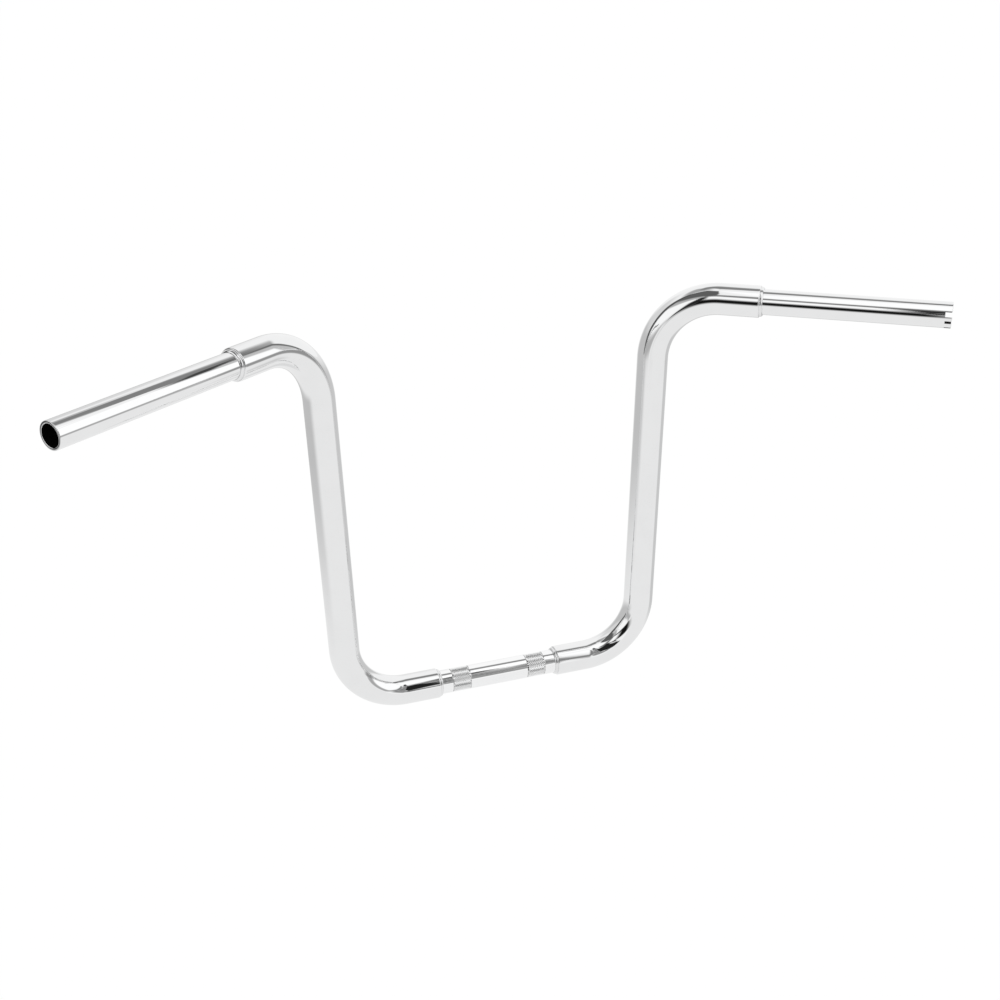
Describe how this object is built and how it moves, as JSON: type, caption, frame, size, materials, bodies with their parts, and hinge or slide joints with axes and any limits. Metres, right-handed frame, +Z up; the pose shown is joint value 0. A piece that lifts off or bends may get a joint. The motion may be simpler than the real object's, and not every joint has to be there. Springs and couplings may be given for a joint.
{
  "type": "ape hanger handlebar",
  "caption": "Tall chrome motorbike handlebar with large bent uprights, smaller swept-back grip tubes, and a knurled centre section that risers clamp.",
  "frame": {"origin": "middle of the clamp section, on its axis", "axes": "+X along the clamp section towards the rider's right hand, which is the throttle side; -Y back towards the rider; +Z up the uprights"},
  "size_m": [0.8519, 0.2035, 0.4382],
  "materials": {
    "polished_chrome": "mirror-polished chrome plate over steel tube",
    "knurled_chrome": "chrome plate over steel tube, polished, with rolled diamond knurling in bands",
    "weld_chrome": "chrome plate over a smoothed weld bead, slightly softer than the tubes"
  },
  "bodies": {
    "root": {"clamp_tube": "knurled_chrome", "left_main_tube": "polished_chrome", "right_main_tube": "polished_chrome", "left_grip_tube": "polished_chrome", "throttle_grip_tube": "polished_chrome", "left_clamp_weld": "weld_chrome", "right_clamp_weld": "weld_chrome", "left_grip_weld": "weld_chrome", "throttle_grip_weld": "weld_chrome"}
  },
  "joints": []
}
